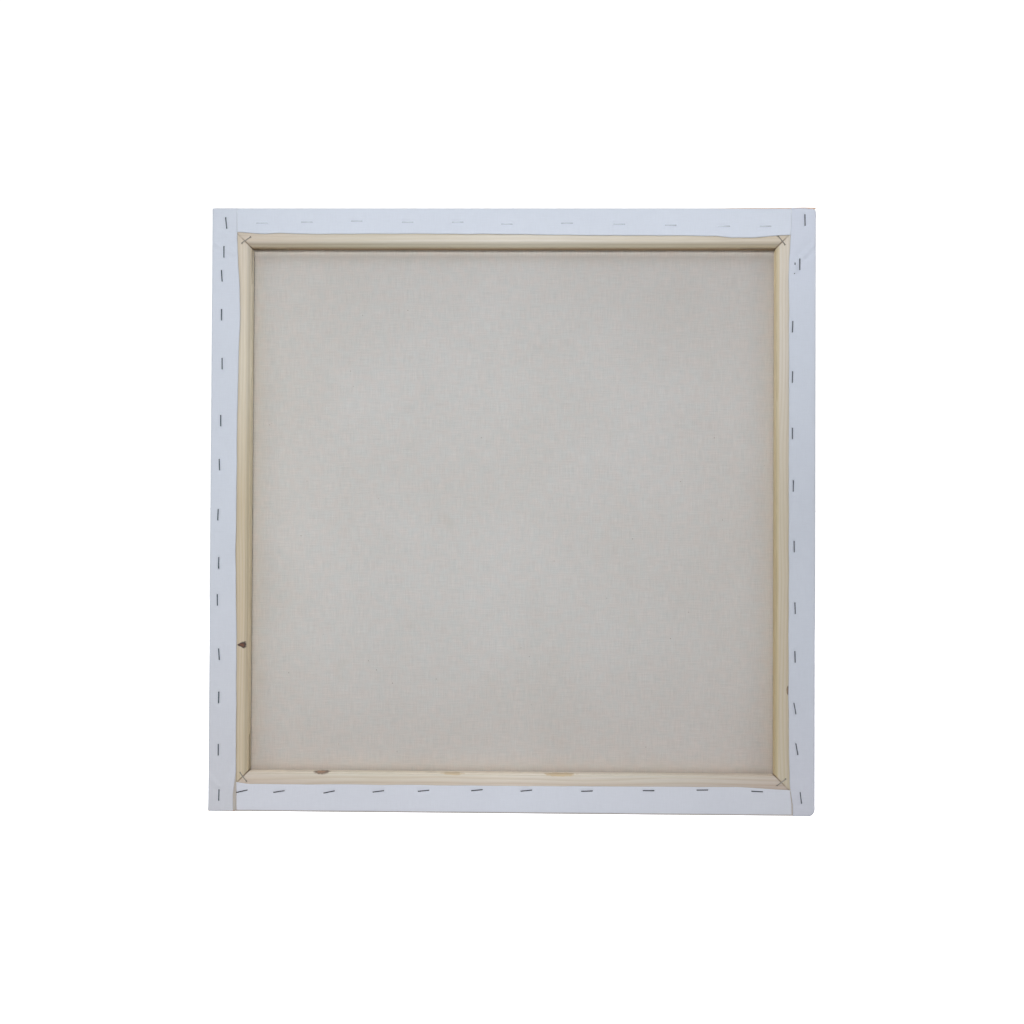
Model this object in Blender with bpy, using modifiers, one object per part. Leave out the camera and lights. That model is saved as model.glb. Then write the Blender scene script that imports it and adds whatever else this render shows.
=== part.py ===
"""A square artist's canvas, stapled over a frame of four slotted pine stretcher bars.

Metres, +Z up. The canvas stands on its bottom edge with its painted face towards -Y and its
stapled back towards +Y. The origin is under the middle of the bottom edge. Left and right are
as seen from the back, so left is +X.
"""

import math

import bmesh
import bpy
from mathutils import Euler, Matrix, Vector

MM = 0.001

# Stretcher bars. The four are alike, and each is turned a quarter turn from the last.
BAR_LENGTH = 0.600
BAR_WIDTH = 0.038
BAR_DEPTH = 0.018
INNER_BACK_ROUNDING = 0.0035
OUTER_FRONT_ROUNDING = 0.0015
OUTER_BACK_ROUNDING = 0.0008
BEAD_WIDTH = 0.004          # the raised rim at the front, all that the cloth touches
FRONT_FALL = 0.003          # how far the front face falls back from the bead to the inner edge

# Corner joints: each end has a slot for the next bar's tenon, and a tenon of its own beside it.
JOINT_GAP = 0.0003
SLOT_THICKNESS = 0.004
SLOT_REACH = 0.036          # how far the slot runs along the bar past the mitre
TENON_REACH = 0.0333        # how far the tenon reaches past the mitre
CORNER_EASE = 0.003         # how much of each side the frame's outer corners lose

# Cloth
CLOTH_THICKNESS = 0.0006
CLOTH_GAP = 0.0003
FLAP_WIDTH = 0.027

# Staples
CROWN = 0.0114
LEG = 0.006
WIRE_WIDTH = 0.0010
WIRE_THICKNESS = 0.0005
STAPLE_BEND = 0.0004
HOLE_CLEARANCE = 0.0003

# Staples in the cloth, in millimetres and degrees: the place along the edge, the distance from
# the outer edge and the tilt. Along the sides the place is a height, and along the top and
# the bottom it is an X.
LEFT_TACKS = (
    (587, 14, -6), (558, 12, 0), (534, 10, -4), (495, 10, 0), (446, 11, -1),
    (389, 10, 0), (345, 9, -2), (295, 8, 2), (247, 9, 0), (210, 8, -1),
    (156, 10, -4), (113, 10, 1), (61, 10, 0), (16, 11, 1),
)
RIGHT_TACKS = (
    (590, 11, -1), (546, 16, 0), (542, 21, 3), (484, 23, 2), (434, 23, 1),
    (378, 23, 0), (326, 22, 1), (266, 21, -1), (205, 20, -2), (157, 20, -2),
    (106, 20, -10), (66, 18, -10), (18, 14, -7),
)
TOP_TACKS = (
    (251, 15, 0), (206, 14, 0), (156, 13, 0), (105, 14, 0), (55, 14, 0), (6, 16, 0),
    (-54, 15, 0), (-106, 16, 0), (-157, 17, 0), (-210, 18, 0), (-251, 18, 0),
)
BOTTOM_TACKS = (
    (267, 20, 13), (230, 20, 9), (180, 20, 12), (131, 21, 8), (86, 22, 6), (33, 23, 6),
    (-16, 23, 6), (-76, 23, 2), (-137, 24, 0), (-190, 25, 1), (-244, 24, -2),
)
# Staples that lock the mitres, in millimetres and degrees: X, height and turn.
CORNER_STAPLES = (
    ("top_left", 267, 570, 35),
    ("top_right", -267, 570, -52),
    ("bottom_left", 266, 34, -53),
    ("bottom_right", -268, 33, 38),
)

CLOTH_STAND_OFF = CLOTH_GAP + CLOTH_THICKNESS
HALF_SIDE = BAR_LENGTH / 2 + CLOTH_STAND_OFF
WOOD_BACK = BAR_DEPTH / 2
CLOTH_BACK = WOOD_BACK + CLOTH_STAND_OFF
CENTRE = Vector((0, 0, HALF_SIDE))
CUTTER_REACH = 0.14         # cutter blocks run well past what they cut


def clear_scene():
    for old in list(bpy.data.objects):
        bpy.data.objects.remove(old, do_unlink=True)


def new_collection(name):
    collection = bpy.data.collections.new(name)
    bpy.context.scene.collection.children.link(collection)
    return collection


def new_material(name, colour, roughness, metallic=0.0):
    material = bpy.data.materials.new(name)
    material.use_nodes = True
    shader = material.node_tree.nodes["Principled BSDF"]
    shader.inputs["Base Color"].default_value = (*colour, 1)
    shader.inputs["Roughness"].default_value = roughness
    shader.inputs["Metallic"].default_value = metallic
    return material


def add_object(name, data, collection, material=None):
    added = bpy.data.objects.new(name, data)
    collection.objects.link(added)
    if material and not data.materials:
        data.materials.append(material)
    return added


def as_cutter(cutter):
    cutter.hide_render = True
    cutter.display_type = "WIRE"
    return cutter


def cut(target, cutter):
    """Takes the cutter's shape out of the target."""
    modifier = target.modifiers.new(cutter.name, "BOOLEAN")
    modifier.operation = "DIFFERENCE"
    modifier.solver = "EXACT"
    modifier.object = cutter


def evaluated_mesh(source, name):
    """The object's mesh as its modifiers leave it."""
    bpy.context.view_layer.update()
    depsgraph = bpy.context.evaluated_depsgraph_get()
    mesh = bpy.data.meshes.new_from_object(source.evaluated_get(depsgraph))
    mesh.name = name
    return mesh


def outline_curve(name, points, half_thickness):
    """A flat closed outline, extruded both ways."""
    curve = bpy.data.curves.new(name, "CURVE")
    curve.dimensions = "2D"
    curve.fill_mode = "BOTH"
    curve.extrude = half_thickness
    spline = curve.splines.new("POLY")
    spline.points.add(len(points) - 1)
    for spline_point, (x, y) in zip(spline.points, points):
        spline_point.co = (x, y, 0, 1)
    spline.use_cyclic_u = True
    return curve


def arc(centre, radius, start, end, steps):
    """Points on an arc, from one angle to another in degrees."""
    angles = [math.radians(start + (end - start) * i / steps) for i in range(steps + 1)]
    return [(centre[0] + radius * math.cos(a), centre[1] + radius * math.sin(a)) for a in angles]


def bar_section():
    """The bar's section, as (depth, height) about the middle of the frame's top bar."""
    outer = BAR_LENGTH / 2
    inner = outer - BAR_WIDTH
    back, front = WOOD_BACK, -WOOD_BACK
    section = [(front + FRONT_FALL, inner)]
    r = INNER_BACK_ROUNDING
    section += arc((back - r, inner + r), r, -90, 0, 5)
    r = OUTER_BACK_ROUNDING
    section += arc((back - r, outer - r), r, 0, 90, 2)
    r = OUTER_FRONT_ROUNDING
    section += arc((front + r, outer - r), r, 90, 180, 3)
    section.append((front, outer - BEAD_WIDTH))
    return section


def end_cutter(name, outwards, distance, low, high, end, collection):
    """A block that trims a bar's end from one face outwards, between two depths.

    The face is square to outwards, at a distance from the middle of the mitre. The end at +X is
    end 1. End -1 is the same end turned half a turn about the upright axis.
    """
    mesh = bpy.data.meshes.new(name)
    block = bmesh.new()
    bmesh.ops.create_cube(block, size=1)
    bmesh.ops.scale(block, vec=(CUTTER_REACH, high - low, CUTTER_REACH), verts=block.verts)
    block.to_mesh(mesh)
    block.free()
    cutter = as_cutter(add_object(name, mesh, collection))
    middle = (BAR_LENGTH - BAR_WIDTH) / 2
    place = Vector((middle, (low + high) / 2, middle))
    place += outwards * (distance + CUTTER_REACH / 2)
    half_turn = Matrix.Rotation(0 if end == 1 else math.pi, 4, "Z")
    eighth_turn = Matrix.Rotation(math.radians(45), 4, "Y")
    cutter.matrix_world = half_turn @ Matrix.Translation(place) @ eighth_turn
    return cutter


def bar_mesh(cutters):
    """One stretcher bar, as the top bar of a frame whose middle is at the origin."""
    section = outline_curve("bar_section", bar_section(), BAR_LENGTH / 2)
    blank_curve = add_object("bar_blank_curve", section, cutters)
    # The outline's own x, y and thickness run along depth, height and length.
    blank_curve.rotation_euler = Euler((math.pi / 2, 0, math.pi / 2))
    blank_mesh = evaluated_mesh(blank_curve, "bar_blank")
    blank_mesh.transform(blank_curve.matrix_world)
    weld = bmesh.new()
    weld.from_mesh(blank_mesh)
    bmesh.ops.remove_doubles(weld, verts=weld.verts, dist=0.00001)
    weld.to_mesh(blank_mesh)
    weld.free()
    blank = add_object("bar_blank", blank_mesh, cutters)

    past_back, past_front = WOOD_BACK + MM, -WOOD_BACK - MM
    tenon_low, tenon_high = JOINT_GAP, SLOT_THICKNESS - JOINT_GAP
    along, outer = Vector((1, 0, -1)).normalized(), Vector((1, 0, 1)).normalized()
    # Reaches run along the bar from its mitre, and a mitre's faces are at 45 degrees to them.
    square = math.sqrt(0.5)
    trims = (
        ("back_cheek_mitre", along, -JOINT_GAP / 2, tenon_high, past_back),
        ("front_cheek_mitre", along, -JOINT_GAP / 2, past_front, tenon_low),
        ("key_slot", along, -SLOT_REACH * square, -SLOT_THICKNESS, 0),
        ("tenon_tip", along, TENON_REACH * square, past_front, past_back),
        ("eased_corner", outer, (BAR_WIDTH - CORNER_EASE) * square, past_front, past_back),
    )
    for end, letter in ((1, "a"), (-1, "b")):
        for name, outwards, distance, low, high in trims:
            trim = end_cutter(f"{name}_{letter}", outwards, distance, low, high, end, cutters)
            cut(blank, trim)
    mesh = evaluated_mesh(blank, "stretcher_bar")
    bpy.data.objects.remove(blank_curve)
    bpy.data.objects.remove(blank)
    return mesh


def cloth_mesh():
    """The stretched cloth: a shallow tray, open at the back inside its four flaps."""
    mesh = bpy.data.meshes.new("canvas_cloth")
    tray = bmesh.new()
    bmesh.ops.create_cube(tray, size=2)
    bmesh.ops.scale(tray, vec=(HALF_SIDE, CLOTH_BACK, HALF_SIDE), verts=tray.verts)
    back = [face for face in tray.faces if face.normal.y > 0.5]
    bmesh.ops.inset_region(tray, faces=back, thickness=FLAP_WIDTH)
    bmesh.ops.delete(tray, geom=back, context="FACES")
    tray.to_mesh(mesh)
    tray.free()
    return mesh


def staple_outline():
    """A staple seen from its side: the crown's top is on the x axis, and the legs point down."""
    half, bend, wire = CROWN / 2, STAPLE_BEND, WIRE_THICKNESS
    outline = [(half - wire, -LEG), (half, -LEG)]
    outline += arc((half - bend, -bend), bend, 0, 90, 2)
    outline += arc((-half + bend, -bend), bend, 90, 180, 2)
    outline += [(-half, -LEG), (-half + wire, -LEG), (-half + wire, -wire), (half - wire, -wire)]
    return outline


def place_of(x, height, crown_top, turn):
    """Where a staple goes: its crown lies across the back, turned by some degrees."""
    place = Matrix.Translation((x * MM, crown_top, height * MM))
    return place @ Matrix.Rotation(math.radians(turn), 4, "Y")


def staple_places():
    """The name and the place of every staple."""
    side = HALF_SIDE / MM
    over_cloth = CLOTH_BACK + CLOTH_GAP + WIRE_THICKNESS
    over_wood = WOOD_BACK + CLOTH_GAP + WIRE_THICKNESS
    places = {}
    for edge, out, tacks in (("left", 1, LEFT_TACKS), ("right", -1, RIGHT_TACKS)):
        for i, (height, inset, tilt) in enumerate(tacks, 1):
            place = place_of(out * (side - inset), height, over_cloth, 90 - tilt)
            places[f"tack_staple_{edge}_{i:02d}"] = place
    for edge, out, tacks in (("top", 1, TOP_TACKS), ("bottom", -1, BOTTOM_TACKS)):
        for i, (x, inset, tilt) in enumerate(tacks, 1):
            place = place_of(x, side + out * (side - inset), over_cloth, tilt)
            places[f"tack_staple_{edge}_{i:02d}"] = place
    for corner, x, height, turn in CORNER_STAPLES:
        places[f"corner_staple_{corner}"] = place_of(x, height, over_wood, turn)
    return places


def leg_holes(places, collection):
    """The holes that all the staples' legs stand in, as one cutter."""
    mesh = bpy.data.meshes.new("leg_holes")
    holes = bmesh.new()
    above = MM
    depth = above + LEG + HOLE_CLEARANCE
    size = (WIRE_THICKNESS + 2 * HOLE_CLEARANCE, depth, WIRE_WIDTH + 2 * HOLE_CLEARANCE)
    for place in places.values():
        for leg in (-1, 1):
            x = leg * (CROWN - WIRE_THICKNESS) / 2
            middle = Matrix.Translation((x, above - depth / 2, 0))
            bmesh.ops.create_cube(
                holes, size=1, matrix=place @ middle @ Matrix.Diagonal((*size, 1))
            )
    holes.to_mesh(mesh)
    holes.free()
    return as_cutter(add_object("leg_holes", mesh, collection))


def main():
    clear_scene()
    parts = new_collection("stretched_canvas")
    cutters = new_collection("cutters")
    pine = new_material("pine", (0.60, 0.53, 0.42), 0.65)
    cloth = new_material("primed_cotton", (0.72, 0.74, 0.78), 0.85)
    steel = new_material("staple_steel", (0.30, 0.32, 0.33), 0.35, 1.0)

    middle = bpy.data.objects.new("frame_middle", None)
    middle.location = CENTRE
    parts.objects.link(middle)

    places = staple_places()
    holes = leg_holes(places, cutters)

    shared_bar = bar_mesh(cutters)
    for turn, side in enumerate(("top", "left", "bottom", "right")):
        bar = add_object(f"stretcher_bar_{side}", shared_bar, parts, pine)
        bar.parent = middle
        bar.rotation_euler.y = turn * math.pi / 2
        cut(bar, holes)

    canvas = add_object("canvas_cloth", cloth_mesh(), parts, cloth)
    canvas.parent = middle
    shell = canvas.modifiers.new("thickness", "SOLIDIFY")
    shell.thickness = CLOTH_THICKNESS
    shell.offset = -1
    shell.use_even_offset = True
    cut(canvas, holes)

    wire = outline_curve("staple", staple_outline(), WIRE_WIDTH / 2)
    for name, place in places.items():
        staple = add_object(name, wire, parts, steel)
        staple.matrix_world = place


main()
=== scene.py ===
"""The looks of the stretched canvas: its cloth, the wood of its bars, its staples, light and view.

Metres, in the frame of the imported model: +Z up, the stapled back towards +Y, and the origin under
the middle of the bottom edge. Left is +X, as seen from the back.
"""

import math

import bpy
import numpy as np
from mathutils import Matrix, Vector, noise


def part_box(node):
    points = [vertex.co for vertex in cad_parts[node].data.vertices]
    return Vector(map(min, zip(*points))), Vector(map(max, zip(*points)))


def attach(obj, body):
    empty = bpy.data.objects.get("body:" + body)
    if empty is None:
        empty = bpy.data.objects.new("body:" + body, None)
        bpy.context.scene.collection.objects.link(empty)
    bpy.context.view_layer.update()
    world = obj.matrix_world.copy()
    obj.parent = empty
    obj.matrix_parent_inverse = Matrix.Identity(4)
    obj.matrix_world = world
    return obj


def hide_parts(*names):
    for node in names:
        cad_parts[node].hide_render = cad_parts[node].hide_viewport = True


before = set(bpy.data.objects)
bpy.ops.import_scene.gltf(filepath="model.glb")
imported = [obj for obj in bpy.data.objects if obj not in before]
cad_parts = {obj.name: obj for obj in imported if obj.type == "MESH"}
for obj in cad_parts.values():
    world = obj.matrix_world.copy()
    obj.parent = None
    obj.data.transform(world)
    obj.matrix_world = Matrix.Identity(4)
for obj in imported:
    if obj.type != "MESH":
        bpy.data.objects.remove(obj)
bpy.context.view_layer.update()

MM = 0.001
BAR_WIDTH = 38 * MM
BAR_INSET = 0.9 * MM        # the cloth's thickness and the gap under it
low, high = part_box("canvas_cloth")
HALF = (high - low) / 2
MIDDLE = (high + low) / 2
DEPTH = 2 * HALF.y
INNER_EDGE = HALF.z - BAR_INSET - BAR_WIDTH     # from the middle to the bars' inner faces
BARS = ("top", "left", "bottom", "right")

# ---------------------------------------------------------------- view and light

CAMERA_PLACE = Vector((-0.0269, 1.3609, 0.2814))
CAMERA_AIM = Vector((-0.0003, 0, 0.2991))
CAMERA_ROLL = math.radians(0.27)
CAMERA_LENS = 47.8

AMBIENT_LOW, AMBIENT_HIGH = 0.14, 0.27
BACKGROUND_WHITE = 1.1
# Name, place, aim, size, watts and colour of each soft light.
LIGHTS = (
    ("key", (0.15, 2.6, 0.72), (0, 0, 0.33), (0.5, 0.3), 34, (1.0, 1.0, 1.0)),
    ("low", (0.2, 1.5, 0.1), (0, 0, 0.45), (1.6, 0.15), 1.6, (1.0, 0.98, 0.95)),
    ("overhead", (0.35, 1.9, 1.9), (0, 0, 0.3), (2.0, 1.0), 7, (0.98, 0.99, 1.0)),
    ("left_side", (1.9, 1.2, 0.8), (0, 0, 0.3), (0.8, 1.2), 6.5, (1.0, 0.99, 0.97)),
    ("right_side", (-1.9, 1.2, 0.8), (0, 0, 0.3), (0.8, 1.2), 6.5, (1.0, 0.99, 0.97)),
    ("front", (-0.8, -2.2, 1.5), (0, 0, 0.3), (1.5, 1.2), 50, (1.0, 1.0, 1.0)),
)


def look_at(obj, place, aim, roll=0.0):
    turn = (aim - place).to_track_quat("-Z", "Y")
    obj.matrix_world = (
        Matrix.Translation(place) @ turn.to_matrix().to_4x4() @ Matrix.Rotation(roll, 4, "Z")
    )


def add_camera():
    camera = bpy.data.objects.new("camera", bpy.data.cameras.new("camera"))
    camera.data.lens = CAMERA_LENS
    camera.data.sensor_width = 36
    bpy.context.scene.collection.objects.link(camera)
    look_at(camera, CAMERA_PLACE, CAMERA_AIM, CAMERA_ROLL)
    bpy.context.scene.camera = camera


def add_area_light(name, place, aim, size, watts, colour):
    light = bpy.data.lights.new(name, "AREA")
    light.shape = "RECTANGLE"
    light.size, light.size_y = size
    light.energy = watts
    light.color = colour
    lamp = bpy.data.objects.new(name, light)
    bpy.context.scene.collection.objects.link(lamp)
    look_at(lamp, Vector(place), Vector(aim))


def add_world():
    """White all round for the camera, and a softer light from above for the object."""
    world = bpy.data.worlds.new("studio")
    world.use_nodes = True
    bpy.context.scene.world = world
    tree = world.node_tree
    tree.nodes.clear()
    output = tree.nodes.new("ShaderNodeOutputWorld")
    direction = tree.nodes.new("ShaderNodeTexCoord")
    axes = tree.nodes.new("ShaderNodeSeparateXYZ")
    height = tree.nodes.new("ShaderNodeMapRange")
    ambient = tree.nodes.new("ShaderNodeBackground")
    white = tree.nodes.new("ShaderNodeBackground")
    seen = tree.nodes.new("ShaderNodeLightPath")
    mix = tree.nodes.new("ShaderNodeMixShader")
    height.inputs["From Min"].default_value = -0.6
    height.inputs["From Max"].default_value = 1.0
    height.inputs["To Min"].default_value = AMBIENT_LOW
    height.inputs["To Max"].default_value = AMBIENT_HIGH
    ambient.inputs["Color"].default_value = (0.96, 0.98, 1.0, 1)
    white.inputs["Color"].default_value = (1, 1, 1, 1)
    white.inputs["Strength"].default_value = BACKGROUND_WHITE
    tree.links.new(direction.outputs["Generated"], axes.inputs[0])
    tree.links.new(axes.outputs["Z"], height.inputs["Value"])
    tree.links.new(height.outputs["Result"], ambient.inputs["Strength"])
    tree.links.new(seen.outputs["Is Camera Ray"], mix.inputs["Fac"])
    tree.links.new(ambient.outputs[0], mix.inputs[1])
    tree.links.new(white.outputs[0], mix.inputs[2])
    tree.links.new(mix.outputs[0], output.inputs[0])
    bpy.context.scene.view_settings.view_transform = "Standard"


# ---------------------------------------------------------------- materials


class Shader:
    """A Principled material and short ways to add nodes to it."""

    def __init__(self, name, roughness=0.6, metallic=0.0):
        self.material = bpy.data.materials.new(name)
        self.material.use_nodes = True
        self.tree = self.material.node_tree
        self.principled = self.tree.nodes["Principled BSDF"]
        self.principled.inputs["Roughness"].default_value = roughness
        self.principled.inputs["Metallic"].default_value = metallic

    def node(self, kind, output=0, inputs=(), **settings):
        node = self.tree.nodes.new(kind)
        for key, value in settings.items():
            setattr(node, key, value)
        for key, value in dict(inputs).items():
            self.feed(node.inputs[key], value)
        return node.outputs[output]

    def feed(self, socket, value):
        if isinstance(value, bpy.types.NodeSocket):
            self.tree.links.new(value, socket)
        else:
            socket.default_value = value

    def math(self, operation, a, b=0.0):
        return self.node("ShaderNodeMath", inputs={0: a, 1: b}, operation=operation)

    def axes(self, place):
        """The X, Y and Z of a place, by their letters."""
        node = self.tree.nodes.new("ShaderNodeSeparateXYZ")
        self.feed(node.inputs[0], place)
        return node.outputs

    def vector(self, operation, a, b=(0, 0, 0), output=0):
        return self.node(
            "ShaderNodeVectorMath", output, inputs={0: a, 1: b}, operation=operation
        )

    def noise(self, place, scale, detail=3.0, roughness=0.55):
        return self.node(
            "ShaderNodeTexNoise", "Fac",
            {"Vector": place, "Scale": scale, "Detail": detail, "Roughness": roughness},
        )

    def ramp(self, factor, *stops):
        """Stops are (place, colour) pairs."""
        node = self.tree.nodes.new("ShaderNodeValToRGB")
        elements = node.color_ramp.elements
        while len(elements) < len(stops):
            elements.new(0.5)
        for element, (place, colour) in zip(elements, stops):
            element.position = place
            element.color = (*colour, 1)
        self.feed(node.inputs["Fac"], factor)
        return node.outputs["Color"]

    def span(self, value, start, end, to_start=0.0, to_end=1.0):
        return self.node(
            "ShaderNodeMapRange", "Result",
            {"Value": value, "From Min": start, "From Max": end,
             "To Min": to_start, "To Max": to_end},
        )

    def mix(self, factor, a, b, blend="MIX"):
        return self.node(
            "ShaderNodeMix", 2, {0: factor, 6: a, 7: b},
            data_type="RGBA", blend_type=blend,
        )

    def times(self, colour, tint):
        """A colour multiplied by another colour, by three numbers or by one number's socket."""
        if not isinstance(tint, bpy.types.NodeSocket):
            tint = (*tint, 1)
        elif tint.type == "VALUE":
            tint = self.node(
                "ShaderNodeCombineColor", 0, {"Red": tint, "Green": tint, "Blue": tint})
        return self.mix(1.0, colour, tint, "MULTIPLY")

    def tinted(self, colour, tint, where):
        """A colour multiplied by a tint where the last number is 1, and as it was where it's 0."""
        return self.mix(where, colour, self.times(colour, tint))

    def bump(self, height, distance, strength=1.0, normal=None):
        inputs = {"Height": height, "Distance": distance, "Strength": strength}
        if normal is not None:
            inputs["Normal"] = normal
        return self.node("ShaderNodeBump", 0, inputs)

    def finish(self, **inputs):
        for key, value in inputs.items():
            self.feed(self.principled.inputs[key.replace("_", " ").title()], value)
        return self.material


def grey(value):
    return (value, value, value)


def along_tones(shader, along, half, stops):
    """A colour that runs through stops, evenly from one end of a length to the other."""
    share = shader.span(along, -half, half)
    last = len(stops) - 1
    return shader.ramp(share, *((i / last, colour) for i, colour in enumerate(stops)))


THREAD_PITCH = 0.62 * MM
# Painted shading on each flap, for how the light falls on it: what multiplies the plain tone, from
# its -X or lower end to its other end.
FLAP_PAINTED_SHADING = {
    "left": ((0.885, 0.835, 0.800), (0.905, 0.900, 0.895), (0.905, 0.905, 0.905)),
    "right": (
        (0.825, 0.785, 0.780), (0.810, 0.800, 0.800), (0.785, 0.780, 0.780),
        (0.865, 0.865, 0.870), (0.930, 0.925, 0.945)),
    "top": (
        (0.98, 0.98, 0.98), (1.0, 1.0, 1.0), (0.99, 0.99, 0.99), (0.985, 0.985, 0.985),
        (0.915, 0.92, 0.92)),
    "bottom": ((0.870, 0.835, 0.815), (0.985, 0.955, 0.940), (0.970, 0.925, 0.900)),
}


def woven_height(shader, flat):
    """The height of a plain weave, from 0 to 1, over flat places in the cloth."""
    axes = shader.axes(flat)
    turns = math.pi / THREAD_PITCH
    across = shader.math("MULTIPLY", axes["X"], turns)
    along = shader.math("MULTIPLY", axes["Y"], turns)
    warp = shader.math("ABSOLUTE", shader.math("SINE", across))
    weft = shader.math("ABSOLUTE", shader.math("SINE", along))
    over = shader.math("MULTIPLY", shader.math("COSINE", across), shader.math("COSINE", along))
    warp_up = shader.math("MULTIPLY", warp, shader.span(over, -1, 1, 0.45, 1))
    weft_up = shader.math("MULTIPLY", weft, shader.span(over, 1, -1, 0.45, 1))
    return shader.math("MAXIMUM", warp_up, weft_up)


def thread_tones(shader, flat, reach=0.012):
    """Uneven threads: long thin streaks along both ways of the weave, from 0 to 1."""
    per_thread, per_reach = 0.7 / THREAD_PITCH, 1 / reach
    warp = shader.noise(shader.vector("MULTIPLY", flat, (per_thread, per_reach, 1)), 1.0, 2.0)
    weft = shader.noise(shader.vector("MULTIPLY", flat, (per_reach, per_thread, 1)), 1.0, 2.0)
    return shader.math("MULTIPLY", shader.math("ADD", warp, weft), 0.5)


FOLD_SHADOW = (0.42, 0.37, 0.34)      # painted shadow: a dark brown line along the bottom fold, which faces down


def primed_cotton():
    """The outer side: a bluish white ground that half fills the weave, with painted shading on each
    flap and a painted shadow along the bottom fold.
    """
    shader = Shader("primed_cotton", roughness=0.72)
    flat = shader.node("ShaderNodeAttribute", "Vector", attribute_name="flat")
    axes = shader.axes(flat)
    clouds = shader.noise(flat, 14.0, 4.0)
    patches = shader.noise(flat, 160.0, 3.0)
    colour = shader.ramp(clouds, (0.25, (0.640, 0.690, 0.785)), (0.75, (0.665, 0.715, 0.810)))
    colour = shader.tinted(
        colour, grey(0.955), shader.span(thread_tones(shader, flat), 0.35, 0.65))
    # Painted shading on each flap.
    for side, tones in FLAP_PAINTED_SHADING.items():
        out, along = ("X", "Y") if side in ("left", "right") else ("Y", "X")
        toward = 1.0 if side in ("left", "top") else -1.0
        outwards = shader.math("MULTIPLY", axes[out], toward)
        on_flap = shader.span(outwards, HALF.x + DEPTH - MM, HALF.x + DEPTH)
        colour = shader.tinted(colour, along_tones(shader, axes[along], HALF.x, tones), on_flap)
    # A painted shadow: a dark brown line along the bottom fold.
    past_bottom_fold = shader.math("ADD", axes["Y"], HALF.z + DEPTH + 0.4 * MM)
    under_fold_shadow = shader.span(shader.math("ABSOLUTE", past_bottom_fold), 0.4 * MM, 1.5 * MM, 1.0, 0.0)
    colour = shader.mix(under_fold_shadow, colour, (*FOLD_SHADOW, 1))
    weave = woven_height(shader, flat)
    filled = shader.math("MULTIPLY", weave, shader.span(patches, 0.3, 0.7, 0.25, 1.0))
    normal = shader.bump(filled, 0.05 * MM, 0.8)
    normal = shader.bump(patches, 0.10 * MM, 0.5, normal)
    rough = shader.span(patches, 0.3, 0.7, 0.62, 0.82)
    return shader.finish(base_color=colour, roughness=rough, normal=normal)


RAW_PALE, RAW_DULL = (0.640, 0.630, 0.613), (0.610, 0.595, 0.570)
RAW_SPECK, RAW_STAIN = (0.16, 0.11, 0.07), (0.45, 0.42, 0.36)
# Painted shading on the raw side, for how the light falls on it: how its tone varies from -X to +X
# and from the bottom up, darker towards -X, the bottom and the top.
RAW_PAINTED_SHADING_ACROSS = (
    (0.925, 0.905, 0.895), (0.965, 0.96, 0.96), (1.0, 1.0, 1.0), (1.0, 1.0, 1.0),
    (1.0, 0.985, 0.965))
RAW_PAINTED_SHADING_UP = (
    (0.93, 0.895, 0.875), (0.985, 0.985, 0.985), (1.0, 1.0, 1.0), (0.995, 1.0, 1.005),
    (0.93, 0.93, 0.935))
# Painted warm shade along all the bars, for their shadow and the light off the wood, and how much
# lighter or darker it is right beside the top bar (1), painted light where its shadow falls, and
# beside the bottom bar (-1), painted shade.
RAW_PAINTED_WARM_SHADE = (0.99, 0.94, 0.875)
RAW_PAINTED_LIGHT_AND_SHADE_BY_BARS = ((1.0, 1.38), (-1.0, 0.88))


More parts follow.
